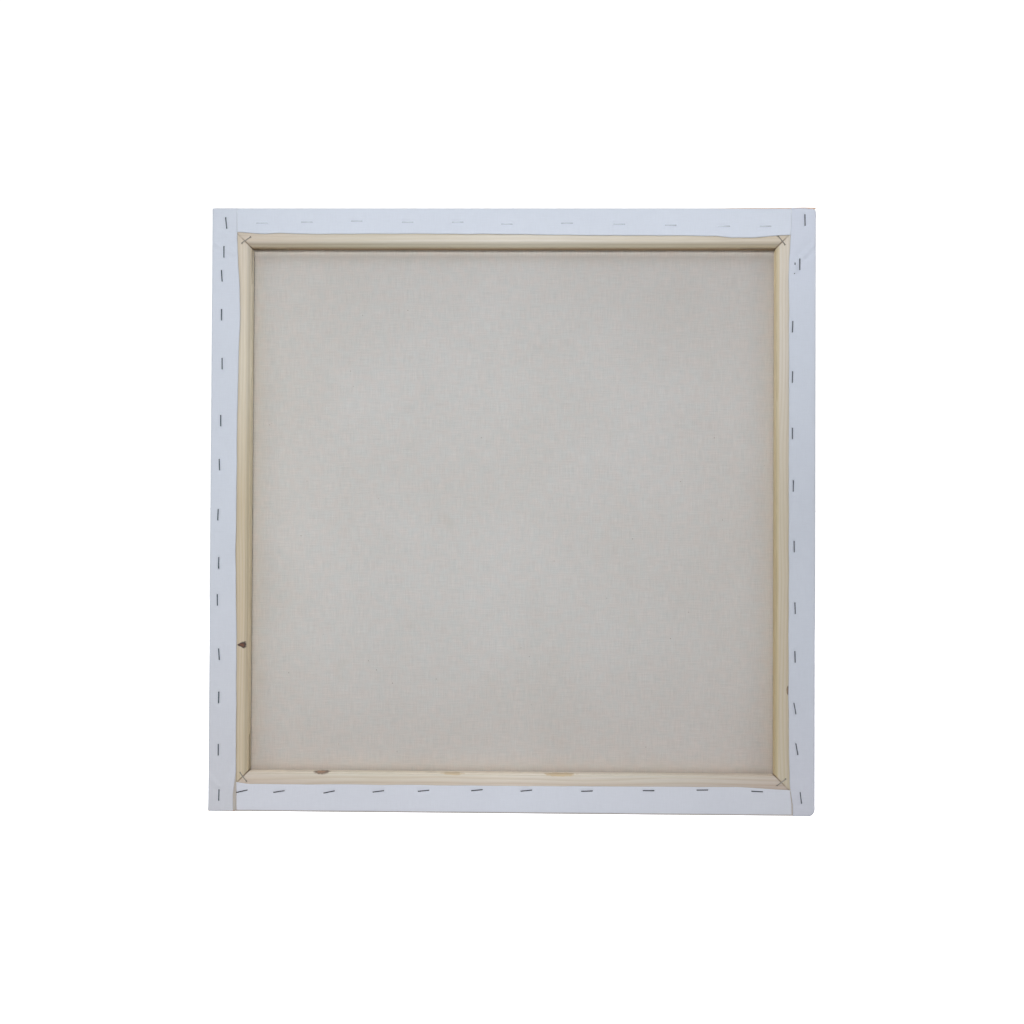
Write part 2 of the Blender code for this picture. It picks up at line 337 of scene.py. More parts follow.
def raw_cotton(name="raw_cotton", tint=(1.0, 1.0, 1.0)):
    """The inner side: unbleached cotton with uneven threads, specks of seed and faint stains, with
    painted shading across it, beside the bars and in the weave's hollows.
    """
    shader = Shader(name, roughness=0.9)
    flat = shader.node("ShaderNodeAttribute", "Vector", attribute_name="flat")
    axes = shader.axes(flat)
    clouds = shader.noise(flat, 7.0, 4.0)
    threads = thread_tones(shader, flat, 0.016)
    weave = woven_height(shader, flat)
    dull, pale = (tuple(a * b for a, b in zip(tone, tint)) for tone in (RAW_DULL, RAW_PALE))
    colour = shader.ramp(clouds, (0.35, dull), (0.68, pale))

    # Painted warm shade towards the bars.
    off_middle = shader.math(
        "MAXIMUM", shader.math("ABSOLUTE", axes["X"]), shader.math("ABSOLUTE", axes["Y"]))
    warm_shade_by_bar = shader.math("POWER", shader.span(off_middle, INNER_EDGE - 20 * MM, INNER_EDGE), 2.0)
    inside_bars = shader.span(off_middle, INNER_EDGE + 6 * MM, INNER_EDGE + 4 * MM, 0.25, 1.0)
    colour = shader.tinted(colour, RAW_PAINTED_WARM_SHADE, shader.math("MULTIPLY", warm_shade_by_bar, inside_bars))
    # Painted shading across the raw side.
    for along, tones in (("X", RAW_PAINTED_SHADING_ACROSS), ("Y", RAW_PAINTED_SHADING_UP)):
        colour = shader.times(colour, along_tones(shader, axes[along], INNER_EDGE, tones))
    # Painted light beside the top bar and painted shade beside the bottom bar.
    for toward, factor in RAW_PAINTED_LIGHT_AND_SHADE_BY_BARS:
        outwards = shader.math("MULTIPLY", axes["Y"], toward)
        beside = shader.span(outwards, INNER_EDGE - 6 * MM, INNER_EDGE - 1 * MM)
        colour = shader.tinted(colour, grey(factor), beside)

    mottle = shader.noise(flat, 110.0, 3.0)
    colour = shader.times(
        colour, shader.ramp(mottle, (0.36, (1.018, 0.990, 0.99)), (0.64, (0.972, 0.992, 1.005))))
    colour = shader.times(colour, shader.span(threads, 0.30, 0.70, 0.89, 1.08))
    # Painted shade: the cloth is darker down in the hollows of the weave.
    colour = shader.times(colour, shader.span(weave, 0.2, 0.9, 0.80, 1.04))
    cells = shader.node(
        "ShaderNodeTexVoronoi", "Distance", {"Vector": flat, "Scale": 85.0, "Randomness": 1.0})
    few = shader.noise(flat, 60.0, 0.0)
    speck = shader.math(
        "MULTIPLY", shader.span(cells, 0.050, 0.020), shader.span(few, 0.56, 0.60))
    colour = shader.mix(speck, colour, (*RAW_SPECK, 1))
    stain = shader.span(shader.noise(flat, 22.0, 2.0), 0.66, 0.78, 0.0, 0.22)
    colour = shader.mix(stain, colour, (*RAW_STAIN, 1))
    normal = shader.bump(weave, 0.16 * MM, 0.9)
    normal = shader.bump(threads, 0.25 * MM, 0.6, normal)
    return shader.finish(base_color=colour, normal=normal)


RING_WIDTH = 2.6 * MM
LATE_WOOD_LOSS = (0.14, 0.19, 0.28)     # how much darker a year ring's late wood is
PINE_BLOTCH = (0.94, 0.88, 0.78)
PINE_SEAM = (0.20, 0.14, 0.09)
WHITE = (1.0, 1.0, 1.0)


def year_rings(shader, inside, pith):
    """Where each point lies within its year ring, from 0 to 1, round a slightly bent pith."""
    bend = shader.noise(shader.vector("MULTIPLY", inside, (4, 12, 12)), 1.0, 2.0)
    sway = shader.span(bend, 0.2, 0.8, -3.0 * MM, 3.0 * MM)
    axes = shader.axes(inside)
    from_pith_y = shader.math("SUBTRACT", axes["Y"], pith[0])
    from_pith_z = shader.math("SUBTRACT", axes["Z"], pith[1])
    radius = shader.math("SQRT", shader.math(
        "ADD", shader.math("POWER", from_pith_y, 2.0), shader.math("POWER", from_pith_z, 2.0)))
    return shader.math("FRACT", shader.math(
        "MULTIPLY", shader.math("ADD", radius, sway), 1 / RING_WIDTH))


def add_knot(shader, colour, point, wobble, place, radii, stain, rim, strength, taper):
    """A stained knot round a place. Taper narrows its +X end, and rim multiplies its edge's stain."""
    scaled = shader.vector("DIVIDE", shader.vector("SUBTRACT", point, place), radii)
    narrow = shader.span(shader.axes(scaled)["X"], -1.0, 1.0, 1.0, taper)
    drop = shader.vector("DIVIDE", scaled, shader.node(
        "ShaderNodeCombineXYZ", 0, {"X": 1.0, "Y": 1.0, "Z": narrow}))
    reach = shader.math("ADD", shader.vector("LENGTH", drop, output="Value"), wobble)
    stained = shader.ramp(reach, (0.35, stain), (0.65, tuple(rim * s for s in stain)))
    return shader.mix(shader.span(reach, 1.15, 0.80, 0.0, strength), colour, stained)


def pine(name, turn, pith, tones, contrast, edge_light_and_shade, knots=(), painted_front_shadow=None):
    """Planed pine with its grain along the bar. Turn is the bar's place in quarter turns.

    Pith is the heart of the tree as (depth, height) in the bar's own section. Tones follow each
    other along the bar. Contrast is how strong the year rings are. The edge entries are painted
    light and shade: each multiplies the tone towards the inner face, lighter or darker as the
    rounding and the inner face turn to or from the light, between two distances from it, in
    millimetres. The front entry is a painted shadow: it darkens the inner face's front half, by the
    shaded gap above the cloth. Knots are in the frame of the canvas.
    """
    shader = Shader(name, roughness=0.62)
    place = shader.node("ShaderNodeTexCoord", "Object")
    turned = shader.node(
        "ShaderNodeVectorRotate", 0,
        {"Vector": place, "Center": MIDDLE, "Angle": -turn * math.pi / 2},
        rotation_type="Y_AXIS")
    own_place = shader.vector("SUBTRACT", turned, MIDDLE)
    own_axes = shader.axes(own_place)
    inside = shader.vector("ADD", own_place, Vector((0.37 * turn, 0, 0)))

    ring = year_rings(shader, inside, pith)
    tone = along_tones(shader, own_axes["X"], HALF.x, tones)
    late_wood = tuple(1 - contrast * loss for loss in LATE_WOOD_LOSS)
    colour = shader.times(tone, shader.ramp(
        ring, (0.0, WHITE), (0.45, WHITE), (0.82, late_wood), (0.93, late_wood), (1.0, WHITE)))
    blotch = shader.noise(shader.vector("MULTIPLY", inside, (9, 70, 70)), 1.0, 4.0)
    colour = shader.mix(
        shader.span(blotch, 0.30, 0.75, 0.0, 0.55), colour, shader.times(tone, PINE_BLOTCH))
    fibre = shader.noise(shader.vector("MULTIPLY", inside, (45, 2300, 2300)), 1.0, 3.0, 0.6)
    colour = shader.times(colour, shader.span(fibre, 0.30, 0.70, 0.93, 1.05))

    past_inner_face = shader.math("SUBTRACT", own_axes["Z"], INNER_EDGE)
    # Painted light and shade on the rounding and the inner face.
    for start, end, tint in edge_light_and_shade:
        colour = shader.tinted(colour, tint, shader.span(past_inner_face, start * MM, end * MM))
    # A painted shadow on the inner face's front half.
    if painted_front_shadow:
        on_inner_face = shader.span(past_inner_face, 0.4 * MM, 0.1 * MM)
        in_front = shader.span(own_axes["Y"], 1.5 * MM, -0.5 * MM)
        colour = shader.tinted(
            colour, painted_front_shadow, shader.math("MULTIPLY", on_inner_face, in_front))

    off_middle = shader.math("ABSOLUTE", own_axes["X"])
    from_mitre = shader.math("ABSOLUTE", shader.math("SUBTRACT", off_middle, own_axes["Z"]))
    by_inner_corner = shader.span(past_inner_face, 12 * MM, 6 * MM, 0.0, 0.9)
    seam = shader.math(
        "MULTIPLY", shader.span(from_mitre, 1.4 * MM, 0.4 * MM), shader.math(
            "MAXIMUM", by_inner_corner, shader.span(blotch, 0.3, 0.6, 0.05, 0.35)))
    colour = shader.mix(seam, colour, (*PINE_SEAM, 1))
    wobble = shader.span(shader.noise(place, 210.0, 2.0), 0.0, 1.0, -0.5, 0.5)
    for knot in knots:
        colour = add_knot(shader, colour, place, wobble, **knot)
    normal = shader.bump(fibre, 0.06 * MM, 0.7)
    normal = shader.bump(ring, 0.03 * MM, 0.35, normal)
    rough = shader.span(fibre, 0.3, 0.7, 0.52, 0.74)
    return shader.finish(base_color=colour, roughness=rough, normal=normal)


def staple_steel(name, tone, dullness):
    """Wire with a little tarnish and fine drawn lines. Dullness makes it rougher."""
    shader = Shader(name, roughness=0.38, metallic=1.0)
    place = shader.node("ShaderNodeTexCoord", "Object")
    tarnish = shader.noise(place, 900.0, 3.0)
    drawn = shader.noise(place, 5200.0, 1.0)
    colour = shader.ramp(
        tarnish, (0.35, tuple(0.72 * t for t in tone)), (0.62, tone))
    normal = shader.bump(drawn, 0.02 * MM, 0.5)
    rough = shader.span(tarnish, 0.3, 0.7, 0.30 + dullness, 0.52 + dullness)
    return shader.finish(base_color=colour, roughness=rough, normal=normal)


def pale_floor():
    shader = Shader("pale_floor", roughness=0.9)
    place = shader.node("ShaderNodeTexCoord", "Object")
    clouds = shader.noise(place, 1.5, 3.0)
    colour = shader.ramp(clouds, (0.3, (0.93, 0.93, 0.93)), (0.7, (0.95, 0.95, 0.95)))
    normal = shader.bump(shader.noise(place, 400.0, 2.0), 0.05 * MM, 0.2)
    shader.principled.inputs["Emission Color"].default_value = (1, 1, 1, 1)
    shader.principled.inputs["Emission Strength"].default_value = 1.0
    return shader.finish(base_color=colour, normal=normal)


# ---------------------------------------------------------------- staples


def crown_ends(node):
    """The two ends of a staple's crown, as points on its top."""
    points = np.array([vertex.co for vertex in node.data.vertices])
    top = points[points[:, 1] > points[:, 1].max() - 0.05 * MM]
    centre = top.mean(axis=0)
    spread = top - centre
    direction = np.linalg.svd(spread, full_matrices=False)[2][0]
    reach = (spread @ direction).max()
    return Vector(centre - direction * reach), Vector(centre + direction * reach)


TACKS = {
    name: crown_ends(node) for name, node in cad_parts.items() if name.startswith("tack_")
}
SUNK_TACK = "tack_staple_right_03"  # the cloth has closed over its crown


def softening():
    """Joins split vertices and shades smoothly, but for edges sharper than 30 degrees."""
    group = bpy.data.node_groups.new("softening", "GeometryNodeTree")
    group.interface.new_socket("Geometry", in_out="INPUT", socket_type="NodeSocketGeometry")
    group.interface.new_socket("Geometry", in_out="OUTPUT", socket_type="NodeSocketGeometry")
    start = group.nodes.new("NodeGroupInput")
    join = group.nodes.new("GeometryNodeMergeByDistance")
    join.inputs["Distance"].default_value = 0.01 * MM
    faces = group.nodes.new("GeometryNodeSetShadeSmooth")
    edges = group.nodes.new("GeometryNodeSetShadeSmooth")
    edges.domain = "EDGE"
    angle = group.nodes.new("GeometryNodeInputMeshEdgeAngle")
    blunt = group.nodes.new("FunctionNodeCompare")
    blunt.operation = "LESS_THAN"
    blunt.inputs["B"].default_value = math.radians(30)
    end = group.nodes.new("NodeGroupOutput")
    group.links.new(start.outputs[0], join.inputs["Geometry"])
    group.links.new(join.outputs[0], faces.inputs["Geometry"])
    group.links.new(faces.outputs[0], edges.inputs["Geometry"])
    group.links.new(angle.outputs["Unsigned Angle"], blunt.inputs["A"])
    group.links.new(blunt.outputs[0], edges.inputs["Shade Smooth"])
    group.links.new(edges.outputs[0], end.inputs[0])
    return group


SOFTENING = softening()


def soften(node, width):
    """Gives a CAD node smooth curves and slightly rounded edges."""
    smooth = node.modifiers.new("smooth", "NODES")
    smooth.node_group = SOFTENING
    edges = node.modifiers.new("edges", "BEVEL")
    edges.width = width
    edges.segments = 2
    edges.limit_method = "ANGLE"
    edges.angle_limit = math.radians(35)


# ---------------------------------------------------------------- the cloth

CLOTH_THICKNESS = 0.5 * MM
GRID_STEPS = 400            # along each side of the cloth
FRONT_STEP = 4              # how many of these steps each square of the front takes
LINES_ON_FRONT = 3          # a wing's lines on the front, before the box's edge
UPPER_RIGHT_SINK = 1.3 * MM
END_WING_SINK = 0.30 * MM
BACK_SWELL = 0.25 * MM      # how far the flaps stand off the flat
RIPPLE_HEIGHT = 0.16 * MM
DRUM_HEIGHT = 0.25 * MM     # the front's long waves
# Heights and half widths of the cloth's shape round a staple.
CROWN_DENT, LEG_DENT = (-0.30 * MM, 1.9 * MM), (-0.35 * MM, 1.2 * MM)
CROWN_SWELL, SUNK_COVER = (0.12 * MM, 2.0 * MM), (1.15 * MM, 2.4 * MM)
EDGE_ROUNDING = 1.3 * MM
# Where a side wing starts to rise over the end wing, as a distance from the canvas's top or
# bottom, on the flap and on the side, and how long the rise is.
FLAP_RISE_START, SIDE_RISE_START, RISE_LENGTH = 42 * MM, 12 * MM, 16 * MM
# How much higher the side wings lie over the end wings, at each corner by its signs.
LAYERS = {(1, 1): 0.08 * MM, (-1, 1): 0.30 * MM, (1, -1): 0.45 * MM, (-1, -1): 0.35 * MM}
FRONT, SIDE_WING, END_WING, STRIP = 0, 1, 2, 3

# Where the flaps were cut: places along the edge and widths of the flap, in millimetres.
# Along the sides the place is a height above the middle, and along the ends it is an X.
CUTS = {
    "left": (
        (-301, 25), (-285, 25), (-262, 28), (-130, 27.5), (-50, 26), (80, 26.5), (150, 27.5),
        (185, 28.7), (223, 28.2), (244, 26.5), (275, 25.3), (301, 25)),
    "right": (
        (-301, 21.8), (-290, 22), (-279, 24), (-270, 25), (-188, 26.3), (0, 26.3), (205, 26.7),
        (231, 27.1), (249, 26.7), (275, 25.2), (301, 24.2)),
    "top": (
        (-301, 26), (-264, 27.2), (-238, 29.3), (-217, 29.1), (-202, 27.6), (-77, 27.1),
        (-8, 26.2), (112, 25.6), (183, 26.1), (212, 25.7), (232, 25.0), (248, 25.8), (258, 25.1),
        (275, 23.9), (301, 23)),
    "bottom": (
        (-301, 24), (-275, 25.6), (-223, 28.3), (-139, 28.1), (-15, 27.5), (114, 27.6),
        (259, 27.2), (272, 29), (301, 29)),
}
# How round the four corners of the outline are: the cloth is bunched most at the lower right.
CORNER_ROUNDING = {(1, 1): 1.5 * MM, (-1, 1): 3.5 * MM, (1, -1): 1.8 * MM, (-1, -1): 7.0 * MM}
# Creases in the flaps, pulled by the corner folds: from (x, height), to (x, height), ridge height.
CREASES = (
    ((-289, 555), (-301, 567), 0.9),
    ((-284, 549), (-289, 555), 0.5),
    ((280, 556), (300, 568), 0.7),
    ((277, 571), (290, 577), 0.5),
    ((290, 24), (301, 36), 0.5),
    ((284, 40), (278, 62), 0.4),
    ((-290, 30), (-284, 46), 0.3),
)
RAW, BROWN_THREADS_AND_SHADOW = 1, 3         # which material a strip has
# Cloth that shows beside a fold, and one painted shadow: two edges, heights over the plain flap along
# them, material.
STRIPS = (
    (((272.3, 0.8), (272.5, 14), (272.6, 29), (273.4, 42)),
     ((278, 0.8), (278, 14), (277, 29), (274.5, 42)), (0.55, 0.55, 0.45, -0.3), RAW),
    (((-278.1, 0.8), (-277.9, 12), (-276.3, 24)),
     ((-281, 0.8), (-281, 12), (-281, 24)), (0.45, 0.45, 0.35), RAW),
    (((-277, 602.1), (-288, 602.5), (-300.5, 602.2)),
     ((-277, 600.8), (-288, 600.8), (-300.5, 601.2)), (-0.5, -0.5, -0.5), BROWN_THREADS_AND_SHADOW),
    (((-190, 601.6), (-230, 602.0), (-278, 602.1)),
     ((-190, 600.8), (-230, 600.8), (-278, 600.8)), (-0.7, -0.7, -0.6), BROWN_THREADS_AND_SHADOW),
    # A painted shadow: a brown strip along the bottom fold near +X, for the shade under the fold.
    (((300.5, 0.9), (288, 0.7), (274, 1.0)),
     ((300.5, 0.2), (288, 0.2), (274, 0.2)), (0.30, 0.45, 0.55), BROWN_THREADS_AND_SHADOW),
)


def smooth_step(value, start, end):
    t = np.clip((value - start) / (end - start), 0, 1)
    return t * t * (3 - 2 * t)


def lines(start, end, count, fine):
    """Grid lines with a few close ones near both ends, where the edges are rounded."""
    near = [fine * share for share in (0, 0.3, 0.6)]
    middle = np.linspace(start + fine, end - fine, count + 1)
    return np.array([start + n for n in near] + list(middle) + [end - n for n in reversed(near)])


class ClothNet:
    """Faces over a sharp-edged box, welded where the cloth is one and open where it is cut."""

    def __init__(self):
        self.index = {}
        self.sharp, self.flat, self.sheet = [], [], []
        self.faces, self.kinds = [], []

    def vertex(self, sheet, place, flat):
        key = (sheet, *(round(c, 7) for c in place))
        if key not in self.index:
            self.index[key] = len(self.sharp)
            self.sharp.append(place)
            self.flat.append(flat)
            self.sheet.append(sheet)
        return self.index[key]

    def face(self, corners, kind=0):
        ring = [c for i, c in enumerate(corners) if c != corners[i - 1]]
        if len(ring) > 2:
            self.faces.append(ring)
            self.kinds.append(kind)

    def grid(self, columns, kind=0):
        """Faces between neighbouring columns of vertices."""
        for a, b in zip(columns, columns[1:]):
            for i in range(len(a) - 1):
                self.face((a[i], b[i], b[i + 1], a[i + 1]), kind)


def flap_width(side, along):
    places, widths = zip(*CUTS[side])
    waver = 0.35 * noise.noise(Vector((along * 45, BARS.index(side), 0.5)))
    return (float(np.interp(along / MM, places, widths)) + waver) * MM


def flap_width_at(place, sheet):
    """The width of the flap that a vertex belongs to."""
    x, _, z = place
    if sheet == SIDE_WING:
        return flap_width("left" if x > 0 else "right", z)
    return flap_width("top" if z > 0 else "bottom", x)


def build_wing(net, side, fine_lines):
    """One edge of the cloth: a strip of the front, the side and the flap, from front to back."""
    out = 1 if side in ("left", "top") else -1
    upright = side in ("left", "right")
    half_out, half_along = (HALF.x, HALF.z) if upright else (HALF.z, HALF.x)
    r = EDGE_ROUNDING
    around = [-r, -0.6 * r, -0.3 * r, 0, *lines(0, DEPTH, 6, r)[1:]]
    shares = [0.011, 0.03, 0.048, *np.linspace(0.09, 1, 19)]

    def place(along, outwards, y):
        return (outwards * out, y, along) if upright else (along, y, outwards * out)

    def flat(along, w):
        return ((half_out + w) * out, along, 0) if upright else (along, (half_out + w) * out, 0)

    def column(along):
        """Vertices across the wing, from the front over the side to the flap's cut edge."""
        sheet = SIDE_WING if upright else END_WING
        made = []
        for w in around:
            if w <= 0:
                made.append(net.vertex(FRONT, place(along, half_out + w, -HALF.y), flat(along, w)))
            else:
                made.append(net.vertex(sheet, place(along, half_out, w - HALF.y), flat(along, w)))
        width = flap_width(side, along)
        for share in shares:
            w = share * width
            made.append(net.vertex(
                sheet, place(along, half_out - w, HALF.y), flat(along, DEPTH + w)))
        return made

    inner = half_along - r
    for a, b in zip(fine_lines, fine_lines[1:]):
        first, second = column(a), column(b)
        skip = 0 if upright or max(abs(a), abs(b)) <= inner + 1e-9 else LINES_ON_FRONT
        net.grid([first[skip:], second[skip:]])
    if upright:
        build_tabs(net, side, out, around[LINES_ON_FRONT:], shares)


def build_tabs(net, side, out, around, shares):
    """The triangles where the side's cloth folds over onto the top and the bottom."""
    for end in (-1, 1):
        reach = flap_width(side, end * HALF.z)
        columns = []
        for w in around:
            column = []
            for share in (0, *shares):
                e = share * reach * w / DEPTH
                sheet = FRONT if w <= 0 else SIDE_WING
                column.append(net.vertex(
                    sheet, ((HALF.x - e) * out, w - HALF.y, end * HALF.z),
                    ((HALF.x + w) * out, end * (HALF.z + e), 0)))
            columns.append(column)
        net.grid(columns)


def build_front(net, fine_lines):
    """The painted face, in coarser squares than its edges."""
    inner = [f for f in fine_lines if abs(f) <= HALF.x - EDGE_ROUNDING + 1e-9]
    coarse = inner[::FRONT_STEP]
    last = len(coarse) - 2

    def at(x, z):
        return net.vertex(FRONT, (x, -HALF.y, z), (x, z, 0))

    for i, (x0, x1) in enumerate(zip(coarse, coarse[1:])):
        for k, (z0, z1) in enumerate(zip(coarse, coarse[1:])):
            xs = inner[i * FRONT_STEP:(i + 1) * FRONT_STEP + 1]
            zs = inner[k * FRONT_STEP:(k + 1) * FRONT_STEP + 1]
            below = [at(x, z0) for x in xs] if k == 0 else [at(x0, z0), at(x1, z0)]
            above = [at(x, z1) for x in xs] if k == last else [at(x0, z1), at(x1, z1)]
            left = [at(x0, z) for z in zs] if i == 0 else [at(x0, z0), at(x0, z1)]
            right = [at(x1, z) for z in zs] if i == last else [at(x1, z0), at(x1, z1)]
            net.face(below[:-1] + right[:-1] + above[::-1][:-1] + left[::-1][:-1])


def rounded(sharp):
    """The box with its edges and corners rounded off, as the cloth lies over them."""
    made = sharp.copy()
    for (sign_x, sign_z), corner in CORNER_ROUNDING.items():
        chosen = (np.sign(sharp[:, 0]) == sign_x) & (np.sign(sharp[:, 2]) == sign_z)
        p = np.abs(sharp[chosen][:, [0, 2]])
        y = sharp[chosen][:, 1]
        half = np.array([HALF.x, HALF.z])
        inset = (half - p).min(axis=1)
        r = EDGE_ROUNDING
        over = np.abs(y) - (HALF.y - r)
        dent = r - inset
        near = (over > 0) & (dent > 0)
        length = np.hypot(np.maximum(over, 0), np.maximum(dent, 0))
        scale = np.where(near, r / np.maximum(length, 1e-9), 1)
        new_inset = np.where(near, r - dent * scale, inset)
        new_y = np.where(near, np.sign(y) * (HALF.y - r + over * scale), y)
        # Rings of the outline at one inset keep their shape, a square with round corners.
        from_centre = p - (half - corner)
        in_corner = (from_centre > 0).all(axis=1)
        ring = from_centre.max(axis=1)
        new_ring = np.maximum(corner - new_inset, 0)
        unit = from_centre / np.maximum(np.hypot(*from_centre.T), 1e-9)[:, None]
        bent = (half - corner) + unit * new_ring[:, None]
        straight = p.copy()
        by_x = (half - p)[:, 0] <= (half - p)[:, 1]
        straight[by_x, 0] = HALF.x - new_inset[by_x]
        straight[~by_x, 1] = HALF.z - new_inset[~by_x]
        p = np.where((in_corner & (ring > 0))[:, None], bent, straight)
        made[chosen] = np.column_stack([p[:, 0] * sign_x, new_y, p[:, 1] * sign_z])
    return made


def distance_to_line(points, start, end):
    """How far flat points are from a line between two points, and how far along it they are."""
    start, end = np.array(start, float), np.array(end, float)
    way = end - start
    along = np.clip(((points - start) @ way) / (way @ way), 0, 1)
    return np.hypot(*(points - (start + along[:, None] * way)).T), along


def mound(away, height, half_width):
    return height * np.exp(-(away / half_width) ** 2)


def waves(across, scale, seeds):
    """Smooth noise over flat places, from about -1 to 1, with one seed or one for each place."""
    seeds = np.broadcast_to(seeds, len(across))
    return np.array([
        noise.noise(Vector((a * scale, b * scale, seed))) for (a, b), seed in zip(across, seeds)])


def layer_lift(x, y, z, sheet, at_back):
    """How the wings lie over and under each other at the corners."""
    from_end = HALF.z - np.abs(z)
    layer = sum(
        np.where((np.sign(x) == sign_x) & (np.sign(z) == sign_z), height, 0)
        for (sign_x, sign_z), height in LAYERS.items())
    # The side wings lie over the end wings at the corners, and over a folded layer there.
    start = np.where(np.abs(x) < HALF.x - 0.1 * MM, FLAP_RISE_START, SIDE_RISE_START)
    over_corner = smooth_step(-from_end, -start, -start + RISE_LENGTH)
    from_front = smooth_step(y, -HALF.y, -HALF.y + 5 * MM)
    over = np.where(sheet == SIDE_WING, layer * over_corner * from_front, 0)
    # The end wings sink where they go under the side wings.
    inner_fold = smooth_step(np.abs(x), HALF.x - 28 * MM, HALF.x - 23 * MM)
    return over - np.where(sheet == END_WING, END_WING_SINK * at_back * inner_fold, 0)


def crease_lift(across, at_back):
    """The creases' ridges, each with a shallow valley round it."""
    lift = np.zeros(len(across))
    for start, end, rise in CREASES:
        a = (start[0] * MM, start[1] * MM - HALF.z)
        b = (end[0] * MM, end[1] * MM - HALF.z)
        away, _ = distance_to_line(across, a, b)
        ridge = mound(away, rise * MM, 2.2 * MM)
        valley = mound(away - 4.5 * MM, -0.5 * rise * MM, 2.5 * MM)
        lift += (ridge + valley) * at_back
    return lift


def staple_lift(across, flat_back):
    """The dents under the staples' crowns and at their legs, and the cloth over the sunk one."""
    lift = np.zeros(len(across))
    for name, tack in TACKS.items():
        ends = [(p.x, p.z - MIDDLE.z) for p in tack]
        away, along = distance_to_line(across, *ends)
        near = (away < 14 * MM) & flat_back
        if name == SUNK_TACK:
            inside = 1 - np.abs(2 * along - 1)
            cover = mound(away, *SUNK_COVER) * smooth_step(inside, 0.0, 0.35)
            lift += np.where(near, cover, 0)
            continue
        press = mound(away, *CROWN_DENT)
        swell = mound(away - 4.2 * MM, *CROWN_SWELL)
        legs = sum(mound(np.hypot(*(across - end).T), *LEG_DENT) for end in ends)
        lift += np.where(near, press + swell + legs, 0)
    return lift


def cloth_lift(sharp, sheet, width_share, inset):
    """How far each vertex moves outwards: layers, folds, ripples, and dents under the staples."""
    x, y, z = sharp.T
    across = np.column_stack([x, z])
    at_back = smooth_step(y, HALF.y - 1 * MM, HALF.y) * smooth_step(inset, 0, 3 * MM)
    flat_back = y > HALF.y - 0.5 * MM
    lift = BACK_SWELL * at_back + layer_lift(x, y, z, sheet, at_back)
    ripple = waves(across, 38, 1.7 * sheet) + 0.5 * waves(across, 95, 4.1 + sheet)
    lift += RIPPLE_HEIGHT * ripple * at_back
    by_cut_edge = smooth_step(width_share, 0.86, 1.0)
    curl = (0.10 + 0.35 * waves(across, 60, 9.3)) * MM * by_cut_edge
    lift += np.where(flat_back, curl, 0)
    lift += crease_lift(across, at_back) + staple_lift(across, flat_back)
    lift += np.where(sheet == FRONT, DRUM_HEIGHT * waves(across, 9, 3.0), 0)
    return lift


def sink_at_upper_right(sharp, sheet):
    """How far the fold's top gives way towards the upper right corner, from 0 to 1."""
    towards_corner = smooth_step(-sharp[:, 0], HALF.x - 11 * MM, HALF.x - 1 * MM)
    near_top = smooth_step(sharp[:, 2], HALF.z - 9 * MM, HALF.z)
    return np.where(sheet == SIDE_WING, towards_corner * near_top, 0)


def build_strip(net, first_edge, second_edge, lifts, kind, count=30, across=4):
    """A narrow strip of cloth across the back, between two edges.

    Each edge is a list of (x, height) places in millimetres, which are joined by straight lines.
    """
    columns = []
    at = np.linspace(0, 1, len(lifts))
    for share in np.linspace(0, 1, count + 1):
        y = HALF.y + MM * float(np.interp(share, at, lifts))
        ends = []
        for edge in (first_edge, second_edge):
            x, height = (float(np.interp(share, at, values)) * MM for values in zip(*edge))
            ends.append(np.array((x, y, height - HALF.z)))
        column = []
        for k in range(across + 1):
            p = ends[0] + (ends[1] - ends[0]) * k / across
            column.append(net.vertex(STRIP, tuple(p), (p[0], p[2], 0)))
        columns.append(column)
    net.grid(columns, kind)


def lifted_places(sharp, sheet, normals):
    """Where the cloth's vertices end, from their places on the sharp-edged box."""
    from_side = HALF.x - np.abs(sharp[:, 0])
    from_end = HALF.z - np.abs(sharp[:, 2])
    inset = np.where(
        sheet == SIDE_WING, from_side,
        np.where(sheet == END_WING, from_end, np.minimum(from_side, from_end)))
    width = np.array([flap_width_at(*vertex) for vertex in zip(sharp, sheet)])
    lift = cloth_lift(sharp, sheet, inset / width, inset)
    places = rounded(sharp) + normals * lift[:, None] + np.array(MIDDLE)
    places = np.where((sheet == STRIP)[:, None], sharp + np.array(MIDDLE), places)
    places[:, 2] -= UPPER_RIGHT_SINK * sink_at_upper_right(sharp, sheet)
    places[:, 2] = np.maximum(places[:, 2], 0)
    return places


